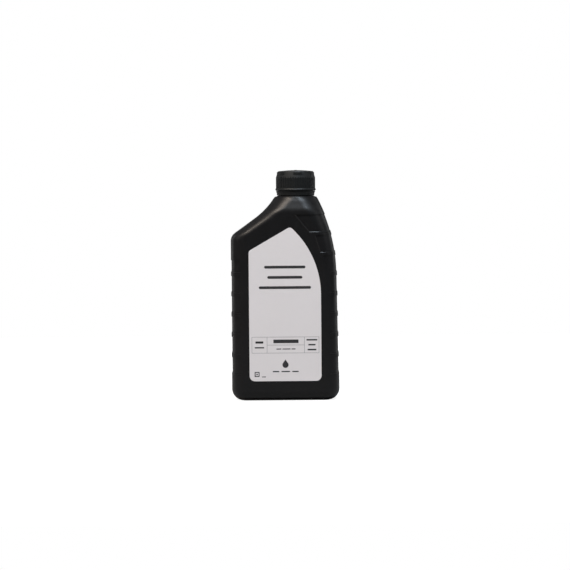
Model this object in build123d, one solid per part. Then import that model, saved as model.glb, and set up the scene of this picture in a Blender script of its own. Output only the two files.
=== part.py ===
"""One-quart motor oil bottle: blown bottle, screw cap with tamper band, wad, two labels and the oil.

Millimetres, +Z up. The origin is the middle of the footprint on the floor. The front faces -Y, and the
neck stands to the +X side of the middle. Every form of the body (outside, cavity, oil) is the same set
of curves, taken inwards by an inset, so the walls stay even when a size is changed.
"""
from build123d import *
from math import asin, cos, radians, sin, sqrt, tan
import os

# ---- body: overall sizes ----
body_width = 110.2          # widest, across X
body_depth = 54.0           # front panel to back panel
body_height = 208.0         # floor to the ledge under the neck
wall = 0.9                  # blown wall, even all over
neck_x = 11.6               # neck axis, to the right of the middle

# ---- body: shape of the outline ----
corner_radius = 16.0        # upright corners, seen from above
round_share = 0.985         # how nearly the top of the shoulder is a circle
base_radius = 12.0          # rounding round the foot
straight_z = 22.0           # height up to which the walls are upright
right_taper = 0.95          # lean of the right wall above that, degrees
right_arc = 172.0           # radius of the right shoulder
slope_angle = 36.0          # left shoulder above level, degrees
slope_corner = 8.5          # rounding between the left wall and the slope
flare_radius = 80.0         # hollow curve from the slope up to the neck
flare_angle = 57.8          # steepness of that curve at the ledge, degrees
front_lean = 22.0           # lean of the front and back above the panels, degrees
front_round = 12.0          # rounding where the panels start to lean
ledge_round = 1.2           # rounding of the ledge's edge
panel_step = 16.0           # spacing of the form's sections up the plain walls
shoulder_step = 3.2         # spacing of the sections over the shoulder

# ---- base: push-up inside a standing rim ----
rim_width = 5.0             # flat rim that the bottle stands on
least_corner = 1.0          # smallest upright corner that any form may have
push_up = 2.6               # how far the middle of the base stands off the floor
push_up_draft = 45.0        # lean of its edge, degrees

# ---- grip: shallow panels between ribs, in one ladder down both sides ----
grip_depth = 0.6
grip_drop = 17.9            # from the ledge down to the top of the highest panel
left_drop = 64.2            # and down to the top of the left side's first panel
rib_pitch = 20.8            # centre to centre of the ribs
rib_height = 3.9
grip_reach = 9.4            # how far a panel comes in from its side
shoulder_reaches = [(43.3, 29.1), (23.4, 17.9), (15.9, 9.4)]    # right shoulder, at each panel's top and foot

# ---- neck finish ----
neck_height = 23.0          # from the ledge up to the land
neck_radius = 17.5          # root of the thread
neck_wall = 2.3
land_round = 0.5
thread_height = 1.2
thread_pitch = 4.2
thread_turns = 1.5
thread_drop = 4.4           # from the land down to the middle of the thread's upper end
thread_foot = 2.3           # width at the root
thread_crest = 0.9
thread_start = 35.0         # where its lower end lies, degrees from +X
stop_bead_height = 1.6      # bead that holds the tamper band down
stop_bead_overhang = 0.9
collar_height = 0.9         # low cone that lifts the neck off the ledge
collar_overhang = 1.3       # past the neck, at its top
collar_spread = 0.9         # and how much wider at its foot
ledge_overhang = 1.25       # past the cap

# ---- cap ----
running_gap = 0.3           # between the neck and what turns on it
cap_wall = 1.1              # outside the thread
cap_roof = 3.0              # from the wad to the middle of the top
cap_dome = 1.1              # rise of the top from its edge to its middle
cap_thread_turns = 1.4
skirt_clearance = 5.9       # from the ledge up to the skirt's edge
bevel_drop = 7.7            # from the top down to where the bevel starts
bevel_height = 5.9
bevel_reach = 2.3           # how far the bevel comes in
bead_overhang = 0.6         # bead round the skirt's edge
bead_height = 1.7
bead_rise = 0.9             # from the skirt's edge up to the bead
groove_count = 48
groove_depth = 0.3
groove_width = 0.9
groove_rise = 0.3           # from the bead up to the grooves
groove_run = 2.0            # how far they run on over the bevel
lug_count = 6
lug_width = 9.2
lug_setback = 0.8           # in from the skirt
lug_drop = 2.0              # from the top of the cap down to the lugs
lug_angle = 7.1 - 90.0      # the first lug is just right of the front, degrees from +X
liner_thickness = 1.0
liner_seat_wall = 1.0       # cap wall around the wad

# ---- tamper band ----
split = 0.3                 # gap between the cap's skirt and the band
band_top_setback = 0.2      # in from the skirt, at the top, waist and foot
band_waist_setback = 0.8
band_foot_setback = 1.4
band_round = 0.8            # height of the turns at its top and foot
lip_height = 1.9            # inner lip that catches under the bead on the neck
lip_slope = 0.6
lip_clearance = 0.5
bridge_count = 12
bridge_width = 0.9

# ---- labels ----
label_thickness = 0.12
label_margin_left = 18.4    # from the side of the body to the label
label_margin_right = 18.6
label_bottom = 20.8
label_side_drop = 54.5      # from the ledge down to where the sloping top meets the left edge
label_arc_drop = 99.3       # and down to where the right edge starts to curve
label_slope = 30.0
label_arc = 92.9            # radius of its right shoulder
label_low_round = 5.5
label_corner_round = 3.5
label_apex_round = 4.0

# ---- oil ----
fill_drop = 20.1            # from the ledge down to the oil's level
oil_gap = 0.3               # drawn clear of the wall all round

# ---- worked out from the sizes above: body, labels and oil ----
half_width = body_width / 2
half_depth_max = body_depth / 2
grip_top = body_height - grip_drop
left_top = body_height - left_drop
panel_count = int((grip_top - straight_z) / rib_pitch)
label_side_top = body_height - label_side_drop
label_arc_start = body_height - label_arc_drop
oil_inset = wall + oil_gap
fill_level = body_height - fill_drop

# ---- worked out: radii about the neck axis ----
bore_radius = neck_radius - neck_wall
stop_bead_radius = neck_radius + stop_bead_overhang
collar_top_radius = neck_radius + collar_overhang
cap_thread_tip = neck_radius + running_gap
cap_thread_root = cap_thread_tip + thread_height
cap_radius = cap_thread_root + cap_wall
cap_top_radius = cap_radius - bevel_reach
bevel_top_radius = cap_top_radius + cap_dome / 2
bead_radius = cap_radius + bead_overhang
lug_radius = cap_radius - lug_setback
ledge_radius = cap_radius + ledge_overhang

# ---- worked out: heights on the neck and the cap ----
land_z = body_height + neck_height
thread_top = land_z - thread_drop
thread_low_z = thread_top - thread_turns * thread_pitch
collar_top = body_height + collar_height
band_bottom = collar_top + running_gap
lip_top = band_bottom + lip_height
stop_bead_low = lip_top + lip_clearance
skirt_bottom = body_height + skirt_clearance
band_top = skirt_bottom - split
cap_bore_top = thread_top + thread_crest / 2 + running_gap
cap_ceiling = land_z + liner_thickness
cap_top = cap_ceiling + cap_roof
bevel_start = cap_top - bevel_drop
bevel_end = bevel_start + bevel_height
bead_low = skirt_bottom + bead_rise
bead_top = bead_low + bead_height


def left_edge(z, inset):
    """X of the left outline at height z: wall, corner, slope, then the hollow curve to the neck."""
    slope = radians(slope_angle)
    flare = radians(flare_angle)
    flare_x = neck_x - ledge_radius - flare_radius * sin(flare)
    flare_z = body_height + flare_radius * cos(flare)
    slope_x = flare_x + flare_radius * sin(slope)
    slope_z = flare_z - flare_radius * cos(slope)
    corner_x = slope_corner - half_width
    corner_z = (slope_z - slope_corner * cos(slope)
                + (corner_x - slope_x - slope_corner * sin(slope)) * tan(slope))
    radius = slope_corner - inset
    if z <= corner_z:
        return inset - half_width
    if z <= corner_z + radius * cos(slope):
        return corner_x - sqrt(radius ** 2 - (z - corner_z) ** 2)
    if z <= slope_z - inset * cos(slope):
        return slope_x + inset * sin(slope) + (z - slope_z + inset * cos(slope)) / tan(slope)
    return flare_x + sqrt((flare_radius + inset) ** 2 - (flare_z - z) ** 2)


def shoulder_start():
    """Height at which the left wall starts to turn over into the slope."""
    z = straight_z
    while left_edge(z, 0) <= -half_width and z < body_height:
        z += 0.5
    return z


def right_edge(z, inset):
    """X of the right outline at height z: a leaning wall, then one long arc to the neck."""
    lean = radians(right_taper)
    gap = (half_width - neck_x - ledge_radius) * cos(lean) - (body_height - straight_z) * sin(lean)
    along = ((body_height - straight_z) * cos(lean)
             + (half_width - neck_x - ledge_radius) * sin(lean)
             - sqrt(right_arc ** 2 - (right_arc - gap) ** 2))
    arc_x = half_width - right_arc * cos(lean) - along * sin(lean)
    arc_z = straight_z - right_arc * sin(lean) + along * cos(lean)
    radius = right_arc - inset
    if z <= straight_z:
        return half_width - inset
    if z <= arc_z + radius * sin(lean):
        return half_width - inset / cos(lean) - (z - straight_z) * tan(lean)
    return arc_x + sqrt(radius ** 2 - (z - arc_z) ** 2)


def half_depth(z, inset):
    """Half the body's depth at height z: flat panels, then a lean in to the neck."""
    lean = radians(front_lean)
    turn_z = body_height - (half_depth_max - ledge_radius + front_round * (1 / cos(lean) - 1)) / tan(lean)
    radius = front_round - inset
    if z <= turn_z:
        return half_depth_max - inset
    if z <= turn_z + radius * sin(lean):
        return half_depth_max - front_round + sqrt(radius ** 2 - (z - turn_z) ** 2)
    return ledge_radius + (body_height - z) * tan(lean) - inset / cos(lean)


def section(z, inset):
    """The body's outline at height z: a rectangle with round corners that becomes a circle."""
    left = left_edge(z, inset)
    right = right_edge(z, inset)
    depth = half_depth(z, inset)
    start = shoulder_start()
    share = max(0.0, (z - start) / (body_height - start))
    corner = corner_radius + (ledge_radius - corner_radius) * share ** 1.5 - inset
    corner = max(least_corner, min(corner, round_share * depth, round_share * (right - left) / 2))
    return Pos((left + right) / 2, 0, z) * RectangleRounded(right - left, 2 * depth, corner)


def levels(top):
    """Heights of the sections, closer together over the shoulder."""
    start = shoulder_start() - 2 * shoulder_step
    plain = max(2, round((start - straight_z) / panel_step))
    curved = max(4, round((top - start) / shoulder_step))
    low = [straight_z + (start - straight_z) * i / plain for i in range(plain)]
    return low + [start + (top - start) * i / curved for i in range(curved + 1)]


def plain_form(inset):
    """The body without its grip, every face taken in by inset."""
    foot = extrude(section(straight_z, inset), -(straight_z - inset))
    foot = fillet(foot.edges().group_by(Axis.Z)[0], base_radius - inset)
    upper = loft([section(z, inset) for z in levels(body_height - inset)])
    return foot + upper


def panel_blank(side, low, high, reaches, grow):
    """A block over one shallow panel on the left (-1) or right (1), its edges moved out by grow."""
    slant = (reaches[0] - reaches[1]) / (high - low)
    out = grow * sqrt(1 + slant ** 2)
    wedge = Polyline(
        (side * (half_width - reaches[1] + slant * grow - out), low - grow),
        (side * body_width, low - grow),
        (side * body_width, high + grow),
        (side * (half_width - reaches[0] - slant * grow - out), high + grow),
        close=True)
    return extrude(Plane.XZ * make_face(wedge), body_depth, both=True)


def grip_blanks(grow):
    """Blocks over every shallow panel, their edges moved out by grow."""
    plain = (grip_reach, grip_reach)
    blanks = []
    for i in range(panel_count):
        high = grip_top - i * rib_pitch
        low = high - rib_pitch + rib_height
        reaches = shoulder_reaches[i] if i < len(shoulder_reaches) else plain
        blanks.append(panel_blank(1, low, high, reaches, grow))
        if low + rib_height < left_top:
            blanks.append(panel_blank(-1, low, min(high, left_top), plain, grow))
    return blanks


def gripped_form(inset):
    """The body with its grip panels pressed in, every face taken in by inset."""
    core = plain_form(inset + grip_depth)
    pressed = [blank - core for blank in grip_blanks(inset)]
    return plain_form(inset) - pressed


def base_recess(grow):
    """The push-up under the base, standing grow above the real one."""
    outline = section(straight_z, base_radius + rim_width - grow / cos(radians(push_up_draft)))
    return extrude(Pos(0, 0, -straight_z) * outline, push_up + grow, taper=push_up_draft)


def ring(points):
    """A solid turned about the neck axis from (radius, height) points."""
    face = make_face(Plane.XZ * Polyline(*points, close=True))
    return Pos(neck_x, 0, 0) * revolve(face, Axis.Z)


def thread(root, tip, low_z, turns, embed):
    """One start of a right-hand thread between two radii, set into its wall by embed."""
    depth = abs(tip - root)
    outward = 1 if tip > root else -1
    buried = thread_foot + (thread_foot - thread_crest) * embed / depth
    profile = Polyline(
        (-outward * embed, -buried / 2),
        (outward * depth, -thread_crest / 2),
        (outward * depth, thread_crest / 2),
        (-outward * embed, buried / 2),
        close=True)
    path = Helix(thread_pitch, turns * thread_pitch, root)
    start = Plane(origin=path @ 0, x_dir=(1, 0, 0), z_dir=path % 0)
    ridge = sweep(start * make_face(profile), path=path, is_frenet=True)
    return Pos(neck_x, 0, low_z) * Rot(0, 0, thread_start) * ridge


def neck():
    """The solid neck with its collar, bead and thread, standing on the ledge."""
    stop_bead_top = stop_bead_low + stop_bead_height
    plain = ring([
        (0, body_height - wall),
        (collar_top_radius + collar_spread, body_height - wall),
        (collar_top_radius + collar_spread, body_height),
        (collar_top_radius, collar_top),
        (neck_radius, collar_top),
        (neck_radius, stop_bead_low),
        (stop_bead_radius, stop_bead_low),
        (stop_bead_radius, stop_bead_top - stop_bead_overhang),
        (neck_radius, stop_bead_top),
        (neck_radius, land_z - land_round),
        (neck_radius - land_round, land_z),
        (0, land_z),
    ])
    return plain + thread(neck_radius, neck_radius + thread_height, thread_low_z, thread_turns, wall / 2)


def bottle():
    """The blown bottle: body, grip, base and threaded neck, hollow throughout."""
    outside = gripped_form(0)
    outside = fillet(ledge_edges(outside), ledge_round)
    outside += neck()
    cavity = gripped_form(wall) - base_recess(wall)
    bore = Pos(neck_x, 0, 0) * Cylinder(
        bore_radius, land_z - body_height + 3 * wall, align=(Align.CENTER, Align.CENTER, Align.MIN))
    cavity += Pos(0, 0, body_height - 2 * wall) * bore
    return outside - base_recess(0) - cavity


def ledge_edges(form):
    """Edges round the flat top of the shoulder."""
    return form.faces().sort_by(Axis.Z)[-1].edges()


def cap_outside():
    """The cap's plain turned form: bead, skirt, bevel and slightly domed top."""
    dome_z = cap_top - cap_dome
    ball = (cap_top_radius ** 2 + cap_dome ** 2) / (2 * cap_dome)
    middle_z = cap_top - ball + sqrt(ball ** 2 - cap_top_radius ** 2 / 4)
    dome_arc = ThreePointArc((cap_top_radius, dome_z), (cap_top_radius / 2, middle_z), (0, cap_top))
    side = Polyline(
        (0, cap_top),
        (0, skirt_bottom),
        (cap_radius - bead_rise / 2, skirt_bottom),
        (bead_radius, bead_low),
        (bead_radius, bead_low + bead_height / 2),
        (cap_radius, bead_top),
        (cap_radius, bevel_start),
        (bevel_top_radius, bevel_end),
        (cap_top_radius, dome_z))
    face = make_face(Plane.XZ * (dome_arc + side))
    return Pos(neck_x, 0, 0) * revolve(face, Axis.Z)


def cap_grooves():
    """Fine upright grooves round the skirt."""
    low = bead_top + groove_rise
    cutter = Pos(cap_radius, 0, low) * Box(
        2 * groove_depth, groove_width, bevel_start + groove_run - low,
        align=(Align.CENTER, Align.CENTER, Align.MIN))
    step = 360 / groove_count
    return [Pos(neck_x, 0, 0) * Rot(0, 0, step * i) * cutter for i in range(groove_count)]


def cap_lugs():
    """Square lugs that carry the skirt up over the bevel."""
    height = cap_top - lug_drop - bevel_start
    blank = Pos(0, 0, bevel_start) * Box(
        lug_radius, lug_width, height, align=(Align.MIN, Align.CENTER, Align.MIN))
    drum = Pos(0, 0, bevel_start) * Cylinder(
        lug_radius, height, align=(Align.CENTER, Align.CENTER, Align.MIN))
    lug = blank & drum
    step = 360 / lug_count
    return [Pos(neck_x, 0, 0) * Rot(0, 0, lug_angle + step * i) * lug for i in range(lug_count)]


def cap():
    """The screw cap: grooved skirt, lugs on the bevel and the thread inside."""
    body = cap_outside() + cap_lugs() - cap_grooves()
    seat = cap_seat_radius()
    hollow = ring([
        (0, skirt_bottom - 1),
        (cap_thread_root, skirt_bottom - 1),
        (cap_thread_root, cap_bore_top),
        (cap_thread_tip + running_gap, land_z),
        (seat, land_z),
        (seat, cap_ceiling),
        (0, cap_ceiling),
    ])
    below = (thread_foot + thread_crest) / 2 + running_gap
    turn = thread(cap_thread_root, cap_thread_tip, thread_low_z - below, cap_thread_turns, running_gap)
    return body - (hollow - turn)


def cap_seat_radius():
    """Radius of the seat that holds the wad."""
    rise = (cap_ceiling - bevel_start) / bevel_height
    return cap_radius - (cap_radius - bevel_top_radius) * rise - liner_seat_wall


def cap_liner():
    """The foam wad that seals on the land."""
    return Pos(neck_x, 0, land_z) * Cylinder(
        cap_seat_radius() - running_gap, liner_thickness, align=(Align.CENTER, Align.CENTER, Align.MIN))


def tamper_band():
    """The ring left on the neck, with the stubs of its bridges to the cap."""
    inner = stop_bead_radius + running_gap
    outer = cap_radius - band_top_setback
    waist = cap_radius - band_waist_setback
    band = ring([
        (cap_thread_tip, band_bottom),
        (cap_radius - band_foot_setback, band_bottom),
        (waist, band_bottom + band_round),
        (waist, (band_bottom + band_top) / 2),
        (outer, band_top - band_round),
        (outer, band_top),
        (inner, band_top),
        (inner, lip_top),
        (cap_thread_tip, lip_top - lip_slope),
    ])
    depth = outer - inner
    stub = Pos(inner + depth / 2, 0, band_top) * Box(
        depth / 2, bridge_width, split, align=(Align.CENTER, Align.CENTER, Align.MIN))
    step = 360 / bridge_count
    return band + [Pos(neck_x, 0, 0) * Rot(0, 0, step * i) * stub for i in range(bridge_count)]


def label_face():
    """Outline of both labels, seen from the front."""
    left = label_margin_left - half_width
    right = half_width - label_margin_right
    slope = radians(label_slope)
    centre_x = right - label_arc
    apex_x = left
    apex_z = label_side_top
    while sqrt((apex_x - centre_x) ** 2 + (apex_z - label_arc_start) ** 2) < label_arc:
        apex_x += 0.05
        apex_z += 0.05 * tan(slope)
    sweep_angle = asin((apex_z - label_arc_start) / label_arc) / 2
    middle = (centre_x + label_arc * cos(sweep_angle), label_arc_start + label_arc * sin(sweep_angle))
    sides = Polyline(
        (apex_x, apex_z),
        (left, label_side_top),
        (left, label_bottom),
        (right, label_bottom),
        (right, label_arc_start))
    face = make_face(sides + ThreePointArc((right, label_arc_start), middle, (apex_x, apex_z)))
    low = face.vertices().group_by(Axis.Y)[0]
    face = fillet(low, label_low_round)
    face = fillet(face.vertices().sort_by(Axis.Y)[-1], label_apex_round)
    corner = face.vertices().sort_by_distance((left, label_side_top))[0]
    return fillet(corner, label_corner_round)


def label(front):
    """A thin label lying on the front or back panel."""
    blank = extrude(Plane.XZ * label_face(), label_thickness)
    if front:
        return Pos(0, -half_depth_max, 0) * blank
    return Pos(0, half_depth_max + label_thickness, 0) * blank


def oil_fill():
    """The oil, up to its level, just clear of the bottle's inside."""
    room = gripped_form(oil_inset) - base_recess(oil_inset)
    level = Box(2 * body_width, 2 * body_depth, fill_level, align=(Align.CENTER, Align.CENTER, Align.MIN))
    return room & level


nodes = {
    "bottle": bottle(),
    "cap": cap(),
    "cap_liner": cap_liner(),
    "tamper_band": tamper_band(),
    "front_label": label(True),
    "back_label": label(False),
    "oil_fill": oil_fill(),
}

os.makedirs("parts", exist_ok=True)
for name, solid in nodes.items():
    export_step(solid, f"parts/{name}.step")
    print(name, "volume", round(solid.volume), "mm3")
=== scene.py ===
"""Looks of the motor oil bottle: plastics, label print, mould marks, studio and camera.

Lengths are in metres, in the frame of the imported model, except where a comment says millimetres.
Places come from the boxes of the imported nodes.
"""
from math import acos, cos, pi, radians, sin

import bpy
from mathutils import Matrix, Vector

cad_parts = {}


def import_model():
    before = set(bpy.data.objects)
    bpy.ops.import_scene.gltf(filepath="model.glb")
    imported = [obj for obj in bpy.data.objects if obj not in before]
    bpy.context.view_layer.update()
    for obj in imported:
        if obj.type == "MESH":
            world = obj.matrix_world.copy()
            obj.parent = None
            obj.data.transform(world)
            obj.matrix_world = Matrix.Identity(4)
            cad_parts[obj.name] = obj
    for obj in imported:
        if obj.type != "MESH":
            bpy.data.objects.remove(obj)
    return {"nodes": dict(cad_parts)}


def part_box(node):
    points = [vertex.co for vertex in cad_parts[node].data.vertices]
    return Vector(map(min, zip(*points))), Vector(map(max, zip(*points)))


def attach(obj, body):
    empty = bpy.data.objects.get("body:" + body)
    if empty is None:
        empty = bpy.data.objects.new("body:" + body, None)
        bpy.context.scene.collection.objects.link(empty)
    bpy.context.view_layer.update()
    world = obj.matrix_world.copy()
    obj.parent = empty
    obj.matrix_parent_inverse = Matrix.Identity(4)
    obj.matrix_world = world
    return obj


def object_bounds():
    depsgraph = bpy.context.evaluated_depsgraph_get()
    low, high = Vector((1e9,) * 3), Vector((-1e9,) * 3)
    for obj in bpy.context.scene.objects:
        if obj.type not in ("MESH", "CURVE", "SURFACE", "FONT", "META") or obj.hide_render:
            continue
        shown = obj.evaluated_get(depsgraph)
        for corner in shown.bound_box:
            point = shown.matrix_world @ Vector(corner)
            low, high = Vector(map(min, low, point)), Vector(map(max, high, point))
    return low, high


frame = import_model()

nodes = frame["nodes"]
cad_box = [list(corner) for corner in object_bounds()]

MM = 0.001

# ---- camera ----
BOTTLE_SHARE = 0.40105      # height of the bottle, as a share of the picture's
AIM_SHARE = 0.4985          # how far up the bottle the camera points
CAMERA_DISTANCE = 2.2
CAMERA_PITCH = radians(3.5)
BOTTLE_LEAN = radians(0.45)
SENSOR = 36.0               # width of the sensor, in millimetres

# ---- label print ----
PRINT_RISE = 0.03 * MM      # how far the print stands off the film
RULE_WIDTH = 0.32           # of the thin grey lines, in millimetres

# ---- studio ----
FLOOR_SIZE = 0.75           # from its middle to its edge
FLOOR_GREY = 0.30
FLOOR_GLOW = 0.88           # what only the camera sees, so that the floor reads as white
STUDIO_GREY = 0.08          # strength of the even light from all around


# ---------------------------------------------------------------- material helpers

class Nodes:
    """A material's node tree, with short calls for the nodes that it is built from."""

    def __init__(self, name):
        self.material = bpy.data.materials.new(name)
        self.material.use_nodes = True
        self.tree = self.material.node_tree
        self.shader = self.tree.nodes["Principled BSDF"]
        self.place = self.add("ShaderNodeTexCoord").outputs["Object"]

    def add(self, kind, **settings):
        node = self.tree.nodes.new(kind)
        for key, value in settings.items():
            setattr(node, key, value)
        return node

    def feed(self, value, socket):
        """Gives a socket what it takes: another socket's value, a colour or a number."""
        if isinstance(value, bpy.types.NodeSocket):
            self.tree.links.new(value, socket)
        elif hasattr(value, "__len__"):
            socket.default_value = (*value, 1)
        else:
            socket.default_value = value

    def noise(self, size, detail, rough=0.5, scale=(1, 1, 1)):
        """Noise whose lumps are about size metres across, on axes scaled by scale."""
        mapping = self.add("ShaderNodeMapping")
        mapping.inputs["Scale"].default_value = scale
        self.feed(self.place, mapping.inputs["Vector"])
        node = self.add("ShaderNodeTexNoise")
        self.feed(mapping.outputs["Vector"], node.inputs["Vector"])
        self.feed(1 / size, node.inputs["Scale"])
        self.feed(detail, node.inputs["Detail"])
        self.feed(rough, node.inputs["Roughness"])
        return node.outputs["Fac"]

    def ramp(self, fac, start, end):
        """A ramp from one (place, grey) pair to another."""
        node = self.add("ShaderNodeValToRGB")
        for element, (place, grey) in zip(node.color_ramp.elements, (start, end)):
            element.position = place
            element.color = (grey, grey, grey, 1)
        self.feed(fac, node.inputs["Fac"])
        return node.outputs["Color"]

    def mix(self, fac, a, b):
        """A colour between a and b."""
        node = self.add("ShaderNodeMix", data_type="RGBA")
        for value, socket in ((fac, node.inputs[0]), (a, node.inputs[6]), (b, node.inputs[7])):
            self.feed(value, socket)
        return node.outputs[2]

    def maths(self, operation, a, b):
        node = self.add("ShaderNodeMath", operation=operation)
        self.feed(a, node.inputs[0])
        self.feed(b, node.inputs[1])
        return node.outputs[0]

    def bump(self, height, depth, below=None):
        """A bump of the given depth in metres, on top of another bump."""
        node = self.add("ShaderNodeBump")
        self.feed(depth, node.inputs["Distance"])
        self.feed(1.0, node.inputs["Strength"])
        self.feed(height, node.inputs["Height"])
        if below is not None:
            self.feed(below, node.inputs["Normal"])
        return node.outputs["Normal"]

    def set(self, socket, value):
        self.feed(value, self.shader.inputs[socket])


# ---------------------------------------------------------------- materials

def bottle_plastic():
    """Satin black blown polyethylene: soft waviness, fine sand-blast grain, faint rubs."""
    n = Nodes("bottle_plastic")
    deep, pale, worn = (0.0044, 0.0044, 0.0049), (0.0070, 0.0067, 0.0070), (0.030, 0.030, 0.032)
    tone = n.mix(n.noise(0.06, 4), deep, pale)
    scuff = n.ramp(n.noise(0.004, 6, 0.7, (1, 1, 0.35)), (0.60, 0.0), (0.78, 1.0))
    patch = n.ramp(n.noise(0.035, 2), (0.48, 0.0), (0.66, 1.0))
    rubbed = n.maths("MULTIPLY", scuff, patch)
    n.set("Base Color", n.mix(n.maths("MULTIPLY", rubbed, 0.25), tone, worn))
    gloss = n.ramp(n.noise(0.02, 5, 0.6), (0.3, 0.33), (0.7, 0.42))
    n.set("Roughness", n.maths("ADD", gloss, n.maths("MULTIPLY", rubbed, 0.12)))
    n.set("IOR", 1.49)
    n.set("Specular IOR Level", 0.27)
    waves = n.bump(n.noise(0.018, 2, 0.4, (1, 1, 0.6)), 0.22 * MM)
    n.set("Normal", n.bump(n.noise(0.0007, 2, 0.6), 0.018 * MM, waves))
    return n.material


def cap_plastic():
    """Black moulded polypropylene, duller than the bottle, with faint flow marks and a fine grain."""
    n = Nodes("cap_plastic")
    deep, pale = (0.0055, 0.0065, 0.0068), (0.0095, 0.0103, 0.0106)
    n.set("Base Color", n.mix(n.noise(0.02, 3), deep, pale))
    n.set("Roughness", n.ramp(n.noise(0.006, 4, 0.6), (0.3, 0.44), (0.7, 0.56)))
    n.set("IOR", 1.49)
    n.set("Specular IOR Level", 0.27)
    flow = n.bump(n.noise(0.008, 2, 0.5, (1, 1, 2.5)), 0.08 * MM)
    n.set("Normal", n.bump(n.noise(0.0005, 2, 0.6), 0.012 * MM, flow))
    return n.material


def label_film():
    """Light grey film: an even satin face with a faint fibre mottle and small ripples."""
    n = Nodes("label_film")
    mottle = n.noise(0.0035, 5, 0.6)
    deep, pale, fibre = (0.684, 0.652, 0.658), (0.714, 0.682, 0.688), (0.52, 0.505, 0.512)
    face = n.mix(n.noise(0.05, 3), deep, pale)
    n.set("Base Color", n.mix(n.maths("MULTIPLY", mottle, 0.12), face, fibre))
    n.set("Roughness", n.ramp(n.noise(0.012, 4), (0.3, 0.40), (0.7, 0.50)))
    ripple = n.bump(n.noise(0.03, 2, 0.4), 0.12 * MM)
    n.set("Normal", n.bump(n.noise(0.0004, 2, 0.6), 0.006 * MM, ripple))
    return n.material


def print_ink(name, dark, light):
    """Printed ink, a little uneven where it lies on the film."""
    n = Nodes(name)
    n.set("Base Color", n.mix(n.noise(0.0012, 4, 0.7), dark, light))
    n.set("Roughness", n.ramp(n.noise(0.002, 3), (0.3, 0.42), (0.7, 0.55)))
    n.set("Normal", n.bump(n.noise(0.0004, 2, 0.6), 0.005 * MM))
    return n.material


def liner_foam():
    """Off-white foamed wad with fine closed cells."""
    n = Nodes("liner_foam")
    cells = n.add("ShaderNodeTexVoronoi")
    cell_size = 0.6 * MM
    n.feed(1 / cell_size, cells.inputs["Scale"])
    n.feed(n.place, cells.inputs["Vector"])
    n.set("Base Color", n.mix(n.noise(0.004, 4), (0.70, 0.69, 0.66), (0.80, 0.79, 0.76)))
    n.set("Roughness", n.ramp(n.noise(0.003, 3), (0.3, 0.55), (0.7, 0.7)))
    n.set("Normal", n.bump(cells.outputs["Distance"], 0.06 * MM))
    return n.material


def oil_amber():
    """Clean engine oil: even amber with a still, glossy surface."""
    n = Nodes("oil_amber")
    n.set("Base Color", n.mix(n.noise(0.03, 2), (0.62, 0.30, 0.05), (0.70, 0.36, 0.07)))
    n.set("Roughness", n.ramp(n.noise(0.02, 2), (0.3, 0.03), (0.7, 0.06)))
    n.set("Normal", n.bump(n.noise(0.02, 1, 0.3), 0.04 * MM))
    n.set("IOR", 1.47)
    n.set("Coat Weight", 0.6)
    n.set("Coat Roughness", 0.02)
    return n.material


# ---------------------------------------------------------------- pieces

def link(name, verts, faces, material, body):
    """Makes a mesh object that rides on a body."""
    mesh = bpy.data.meshes.new(name)
    mesh.from_pydata([tuple(v) for v in verts], [], faces)
    mesh.update()
    mesh.materials.append(material)
    piece = bpy.data.objects.new(name, mesh)
    bpy.context.scene.collection.objects.link(piece)
    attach(piece, body)


def give(names, material):
    """Makes one material the only one on each of the named CAD nodes."""
    for name in names:
        data = nodes[name].data
        data.materials.clear()
        data.materials.append(material)


black_bottle = bottle_plastic()
black_cap = cap_plastic()
ink = print_ink("label_ink", (0.014, 0.014, 0.016), (0.030, 0.029, 0.031))
rule = print_ink("label_rule", (0.17, 0.17, 0.18), (0.24, 0.24, 0.25))

give(["bottle"], black_bottle)
give(["cap", "tamper_band"], black_cap)
give(["front_label", "back_label"], label_film())
give(["cap_liner"], liner_foam())
give(["oil_fill"], oil_amber())


# ---------------------------------------------------------------- label print

front_low, front_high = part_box("front_label")
back_low, back_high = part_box("back_label")


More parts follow.
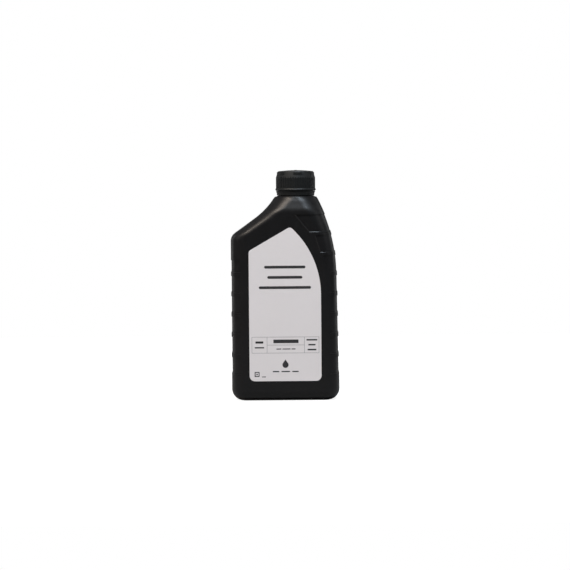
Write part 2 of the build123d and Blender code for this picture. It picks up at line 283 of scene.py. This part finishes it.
class Print:
    """Flat printed shapes on one label, gathered into one mesh.

    Places and sizes are in millimetres, from the label's lower left corner as a reader sees it.
    """

    def __init__(self, name, material, slot, back=False):
        self.name = name
        self.material = material
        self.slot = slot
        self.back = back
        self.verts = []
        self.faces = []

    def point(self, x, z, rise):
        """A place that stands rise metres off the label's face."""
        if self.back:
            return (back_high.x - x * MM, back_high.y + rise, back_low.z + z * MM)
        return (front_low.x + x * MM, front_low.y - rise, front_low.z + z * MM)

    def shape(self, outline):
        """One closed outline as a thin plate, half of it sunk in the film."""
        start = len(self.verts)
        count = len(outline)
        for rise in (-PRINT_RISE, PRINT_RISE):
            self.verts += [self.point(x, z, rise) for x, z in outline]
        top = [start + count + i for i in range(count)]
        self.faces.append(top)
        self.faces.append([start + i for i in reversed(range(count))])
        for i in range(count):
            j = (i + 1) % count
            self.faces.append([start + i, start + j, top[j], top[i]])

    def bar(self, x, z, width, height, soft=0.0):
        """A bar centred on (x, z), its corners rounded by soft."""
        across, up = width / 2, height / 2
        least = 0.001
        soft = min(soft, across - least, up - least)
        if soft <= 0:
            square = ((-1, -1), (1, -1), (1, 1), (-1, 1))
            self.shape([(x + sx * across, z + sz * up) for sx, sz in square])
            return
        steps = 6
        outline = []
        for sx, sz, turn in ((1, -1, -90), (1, 1, 0), (-1, 1, 90), (-1, -1, 180)):
            corner_x = x + sx * (across - soft)
            corner_z = z + sz * (up - soft)
            for i in range(steps + 1):
                angle = radians(turn + 90 * i / steps)
                outline.append((corner_x + soft * cos(angle), corner_z + soft * sin(angle)))
        self.shape(outline)

    def ruled_box(self, left, foot, right, head, line):
        """The four lines of a box."""
        middle_x, middle_z = (left + right) / 2, (foot + head) / 2
        for z in (foot, head):
            self.bar(middle_x, z, right - left + line, line)
        for x in (left, right):
            self.bar(x, middle_z, line, head - foot - line)

    def drop(self, x, z, width, height):
        """A drop of oil: a round foot drawn up to a point."""
        radius = width / 2
        centre_z = z - height / 2 + radius
        tangent = acos(radius / (height - radius))
        first = pi / 2 + tangent
        last = 2 * pi + pi / 2 - tangent
        steps = 40
        outline = [(x, z + height / 2)]
        for i in range(steps + 1):
            angle = first + (last - first) * i / steps
            outline.append((x + radius * cos(angle), centre_z + radius * sin(angle)))
        self.shape(outline)

    def words(self, x, z, lengths, height, space):
        """A line of text stood in for by short round-ended bars of the given lengths, from x on."""
        for length in lengths:
            self.bar(x + length / 2, z, length, height, height / 2)
            x += length + space

    def done(self):
        """Makes the mesh and sets it on the bottle."""
        link(self.name, self.verts, self.faces, self.material, "bottle")


def front_heading(black, middle):
    """Three wide bars in place of the heading."""
    height = 2.8
    for z, width in ((116.2, 42.0), (105.8, 35.6), (95.4, 53.0)):
        black.bar(middle, z, width, height, height / 2)


def front_entries(black):
    """Bars in place of what the ruled box says: its middle part, its left part and its right part."""
    soft = 0.4
    black.bar(37.2, 40.6, 25.6, 3.6, 0.5)
    black.words(27.4, 32.8, (5.2, 8.4, 4.2), 1.0, 0.9)
    for z, width, height in ((39.6, 8.0, 2.2), (34.2, 9.6, 1.3)):
        black.bar(10.2, z, width, height, soft)
    for z, width in ((42.0, 11.0), (37.0, 7.4), (32.0, 9.0)):
        black.bar(63.6, z, width, 1.5, soft)


def front_foot(black, middle):
    """A plain drop over small bars, and a plain square with a bar beside it."""
    black.drop(middle, 17.8, 6.2, 8.6)
    black.words(23.6, 9.8, (6.6, 8.8, 6.6), 1.2, 2.2)
    black.ruled_box(5.6, 4.9, 9.6, 9.1, 0.9)
    black.bar(7.6, 7.0, 1.4, 1.4)
    black.words(12.4, 4.4, (4.2,), 0.8, 1.0)


def front_rules():
    """The ruled box in three parts, the middle one split by a line."""
    grey = Print("front_rules", rule, "label_rule")
    left, right, foot, head = 2.6, 70.8, 28.7, 45.0
    first, second = 18.0, 56.0
    middle = (foot + head) / 2
    grey.ruled_box(left, foot, right, head, RULE_WIDTH)
    for x in (first, second):
        grey.bar(x, middle, RULE_WIDTH, head - foot - RULE_WIDTH)
    grey.bar((first + second) / 2, middle, second - first - RULE_WIDTH, RULE_WIDTH)
    grey.done()


def front_print():
    """Plain shapes on the front label, with no lettering."""
    black = Print("front_print", ink, "label_ink")
    middle = (front_high.x - front_low.x) / MM / 2
    front_heading(black, middle)
    front_entries(black)
    front_foot(black, middle)
    black.done()
    front_rules()


front_print()


def back_text(black, left, right):
    """Three blocks of rows of short bars, the last row of each a little over half as wide."""
    words = (5.2, 8.1, 3.4, 6.6, 9.2, 4.4, 7.3, 2.8, 5.9, 8.8, 3.9, 6.2)
    pitch, height, space, last_share = 2.7, 0.7, 1.1, 0.55
    first_word = 0
    for block_top, rows in ((104.0, 7), (82.0, 6), (62.0, 5)):
        for i in range(rows):
            limit = right if i < rows - 1 else left + last_share * (right - left)
            lengths = []
            end = left
            word = first_word
            while end + words[word % len(words)] <= limit:
                lengths.append(words[word % len(words)])
                end += lengths[-1] + space
                word += 1
            black.words(left, block_top - pitch * i, lengths, height, space)
            first_word += 5


def back_strip(black):
    """A strip of upright bars of arbitrary widths and gaps that encode nothing."""
    widths = (0.5, 0.9, 0.4, 1.3, 0.5, 0.7, 1.1, 0.4, 0.9, 0.6, 1.2, 0.5, 0.4, 1.0, 0.8)
    x = 40.0
    for i, width in enumerate(widths):
        black.bar(x + width / 2, 18.0, width, 16.0)
        x += width + 0.55 + 0.25 * (i % 3)


def back_rules(left, right):
    """A small empty table of two rows and four columns."""
    grey = Print("back_rules", rule, "label_rule", back=True)
    foot, head, columns = 32.5, 44.5, 4
    short = 0.4             # how much shorter the inner lines are than the box
    middle = (foot + head) / 2
    grey.ruled_box(left, foot, right, head, RULE_WIDTH)
    grey.bar((left + right) / 2, middle, right - left - short, RULE_WIDTH)
    for i in range(1, columns):
        grey.bar(left + i * (right - left) / columns, middle, RULE_WIDTH, head - foot - short)
    grey.done()


def back_print():
    """A heading bar, rows of short bars in place of text, a strip of upright bars, a drop and a table."""
    black = Print("back_print", ink, "label_ink", back=True)
    left, right = 6.0, 68.8
    black.bar(25.0, 112.0, 38.0, 2.0, 1.0)
    back_text(black, left, right)
    back_strip(black)
    black.drop(14.0, 17.5, 5.4, 8.0)
    black.done()
    back_rules(left, right)


back_print()


# ---------------------------------------------------------------- mould seam, shoulder lines and gate

def bottle_hit(start, way):
    """Where a ray meets the bottle, and the way its surface faces there."""
    tree = bpy.context.evaluated_depsgraph_get()
    hit, place, normal, _ = nodes["bottle"].evaluated_get(tree).ray_cast(start, way)
    return (place.copy(), normal.copy()) if hit else None


def ridge(name, runs, width, height, sunk):
    """A low triangular ridge along runs of (point, surface normal) pairs on the bottle."""
    verts = []
    faces = []
    for run in runs:
        start = len(verts)
        for i, (point, normal) in enumerate(run):
            ahead = run[min(i + 1, len(run) - 1)][0] - run[max(i - 1, 0)][0]
            across = ahead.cross(normal).normalized() * (width / 2)
            verts.append(point - normal * sunk - across)
            verts.append(point + normal * height)
            verts.append(point - normal * sunk + across)
        for i in range(len(run) - 1):
            a = start + 3 * i
            faces.append((a, a + 3, a + 4, a + 1))
            faces.append((a + 1, a + 4, a + 5, a + 2))
            faces.append((a + 2, a + 5, a + 3, a))
        last = len(verts) - 3
        faces.append((start, start + 1, start + 2))
        faces.append((last, last + 2, last + 1))
    link(name, verts, faces, black_bottle, "bottle")


def bottle_seam():
    """The parting line of the blow mould, up both sides of the body and over the shoulder."""
    low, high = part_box("bottle")
    centre = Vector(((low.x + high.x) / 2, 0, low.z + 0.45 * (high.z - low.z)))
    foot = low.z + 3 * MM
    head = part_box("tamper_band")[0].z - 2.2 * MM
    sides = ([], [])
    steps = 720
    outside = 0.5
    for i in range(steps):
        angle = 2 * pi * i / steps
        way = Vector((cos(angle), 0, sin(angle)))
        found = bottle_hit(centre + way * outside, -way)
        if found and foot < found[0].z < head:
            sides[way.x > 0].append(found)
    runs = [sorted(side, key=lambda pair: pair[0].z) for side in sides]
    ridge("mould_seam", runs, 0.5 * MM, 0.12 * MM, 0.1 * MM)


def shoulder_lines():
    """Fine raised lines just outside the two highest grip panels of the right shoulder, front and back.

    Each runs down the panel's slanted edge and on along its foot. Millimetres, as in part.py.
    """
    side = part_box("bottle")[1].x
    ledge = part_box("tamper_band")[0].z - 1.2 * MM
    grip_drop, rib_pitch, rib_height = 17.9, 20.8, 3.9
    reaches = ((43.3, 29.1, 7.0), (23.4, 17.9, 9.0))    # in from the side: panel's top, its foot, line's end
    off_edge = 0.9
    steps = 24
    outside = 0.2
    runs = []
    for facing in (-1, 1):
        for i, (top_reach, foot_reach, end_reach) in enumerate(reaches):
            top = grip_drop + i * rib_pitch
            foot = top + rib_pitch - rib_height
            corners = ((top_reach, top), (foot_reach, foot), (end_reach, foot))
            run = []
            for (reach, drop), (next_reach, next_drop) in zip(corners, corners[1:]):
                for j in range(steps):
                    share = j / steps
                    x = side - (reach + (next_reach - reach) * share + off_edge) * MM
                    z = ledge - (drop + (next_drop - drop) * share + off_edge) * MM
                    found = bottle_hit(Vector((x, facing * outside, z)), Vector((0, -facing, 0)))
                    if found:
                        run.append(found)
            runs.append(run)
    ridge("shoulder_lines", runs, 1.2 * MM, 0.34 * MM, 0.06 * MM)


bottle_seam()
shoulder_lines()


def lathe(name, profile, centre, material, body):
    """A small turned piece from (radius, height) points about a vertical axis."""
    verts = []
    faces = []
    rows = len(profile)
    steps = 48
    for i in range(steps):
        angle = 2 * pi * i / steps
        verts += [(centre.x + r * cos(angle), centre.y + r * sin(angle), centre.z + h) for r, h in profile]
    for i in range(steps):
        j = (i + 1) % steps
        for k in range(rows - 1):
            faces.append((i * rows + k, j * rows + k, j * rows + k + 1, i * rows + k + 1))
    faces.append([i * rows for i in reversed(range(steps))])
    faces.append([i * rows + rows - 1 for i in range(steps)])
    link(name, verts, faces, material, body)


def cap_gate():
    """The small nub left by the moulding gate in the middle of the cap's top."""
    low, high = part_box("cap")
    centre = Vector(((low.x + high.x) / 2, (low.y + high.y) / 2, high.z))
    profile = [(1.5 * MM, -0.15 * MM), (1.5 * MM, 0.06 * MM), (1.2 * MM, 0.14 * MM), (0.5 * MM, 0.18 * MM)]
    lathe("cap_gate", profile, centre, black_cap, "cap")


cap_gate()


# ---------------------------------------------------------------- studio

def floor():
    """A grey floor under the bottle that reads as white to the camera."""
    size = FLOOR_SIZE
    corners = [(-size, -size, 0), (size, -size, 0), (size, size, 0), (-size, size, 0)]
    mesh = bpy.data.meshes.new("floor")
    mesh.from_pydata(corners, [], [(0, 1, 2, 3)])
    piece = bpy.data.objects.new("floor", mesh)
    bpy.context.scene.collection.objects.link(piece)
    material = bpy.data.materials.new("floor")
    material.use_nodes = True
    tree = material.node_tree
    shader = tree.nodes["Principled BSDF"]
    shader.inputs["Base Color"].default_value = (FLOOR_GREY, FLOOR_GREY, FLOOR_GREY, 1)
    shader.inputs["Roughness"].default_value = 0.9
    shader.inputs["Specular IOR Level"].default_value = 0.1
    path = tree.nodes.new("ShaderNodeLightPath")
    lift = tree.nodes.new("ShaderNodeMath")
    lift.operation = "MULTIPLY"
    lift.inputs[1].default_value = FLOOR_GLOW
    tree.links.new(path.outputs["Is Camera Ray"], lift.inputs[0])
    shader.inputs["Emission Color"].default_value = (1, 1, 1, 1)
    tree.links.new(lift.outputs[0], shader.inputs["Emission Strength"])
    mesh.materials.append(material)


def world():
    """White to the camera, and a faint even grey to everything else."""
    scene_world = bpy.data.worlds.new("studio")
    bpy.context.scene.world = scene_world
    scene_world.use_nodes = True
    tree = scene_world.node_tree
    tree.nodes.clear()
    out = tree.nodes.new("ShaderNodeOutputWorld")
    seen = tree.nodes.new("ShaderNodeBackground")
    seen.inputs["Color"].default_value = (1, 1, 1, 1)
    light = tree.nodes.new("ShaderNodeBackground")
    light.inputs["Color"].default_value = (0.98, 0.99, 1.0, 1)
    light.inputs["Strength"].default_value = STUDIO_GREY
    path = tree.nodes.new("ShaderNodeLightPath")
    mix = tree.nodes.new("ShaderNodeMixShader")
    tree.links.new(path.outputs["Is Camera Ray"], mix.inputs[0])
    tree.links.new(light.outputs[0], mix.inputs[1])
    tree.links.new(seen.outputs[0], mix.inputs[2])
    tree.links.new(mix.outputs[0], out.inputs["Surface"])


def softbox(name, place, width, height, power, colour=(1, 1, 1)):
    """A soft rectangular lamp, its power in watts, turned to the middle of the bottle."""
    data = bpy.data.lights.new(name, "AREA")
    data.shape = "RECTANGLE"
    data.size = width
    data.size_y = height
    data.energy = power
    data.color = colour
    lamp = bpy.data.objects.new(name, data)
    lamp.location = place
    middle = Vector((0, 0, 0.12))
    lamp.rotation_euler = (middle - Vector(place)).to_track_quat("-Z", "Y").to_euler()
    bpy.context.scene.collection.objects.link(lamp)


def studio():
    """World, floor and lamps: two high in front, a faint one each side, one behind and two at the rims."""
    world()
    floor()
    softbox("cool_key", (0.36, -0.90, 2.20), 0.9, 0.6, 54.0, (0.78, 0.89, 1.0))
    softbox("warm_key", (-0.95, -0.90, 2.10), 1.0, 0.6, 48.0, (1.0, 0.87, 0.75))
    softbox("left_side", (-1.6, -0.5, 0.9), 0.9, 1.1, 3.0, (1.0, 0.97, 0.94))
    softbox("right_side", (1.6, -0.5, 0.9), 0.9, 1.1, 3.0)
    softbox("back_fill", (0.1, 1.2, 2.1), 1.0, 0.8, 16.0)
    softbox("left_rim", (-1.2, 0.9, 0.4), 0.4, 1.2, 2.0)
    softbox("right_rim", (1.2, 0.9, 0.4), 0.4, 1.2, 2.0)


def camera():
    """Far back and a little above level, with the bottle framed small and leaning a touch to the left."""
    low_z, high_z = cad_box[0][2], cad_box[1][2]
    height = high_z - low_z
    data = bpy.data.cameras.new("camera")
    data.sensor_width = SENSOR
    data.lens = SENSOR * CAMERA_DISTANCE * BOTTLE_SHARE / height
    eye = bpy.data.objects.new("camera", data)
    aim = Vector((0, 0, low_z + height * AIM_SHARE))
    back = Vector((0, -cos(CAMERA_PITCH), sin(CAMERA_PITCH)))
    eye.location = aim + CAMERA_DISTANCE * back
    turn = (aim - eye.location).to_track_quat("-Z", "Y").to_matrix().to_4x4()
    eye.rotation_euler = (turn @ Matrix.Rotation(-BOTTLE_LEAN, 4, "Z")).to_euler()
    bpy.context.scene.collection.objects.link(eye)
    bpy.context.scene.camera = eye


studio()
camera()

bpy.context.scene.view_settings.view_transform = "Standard"

bpy.context.view_layer.update()
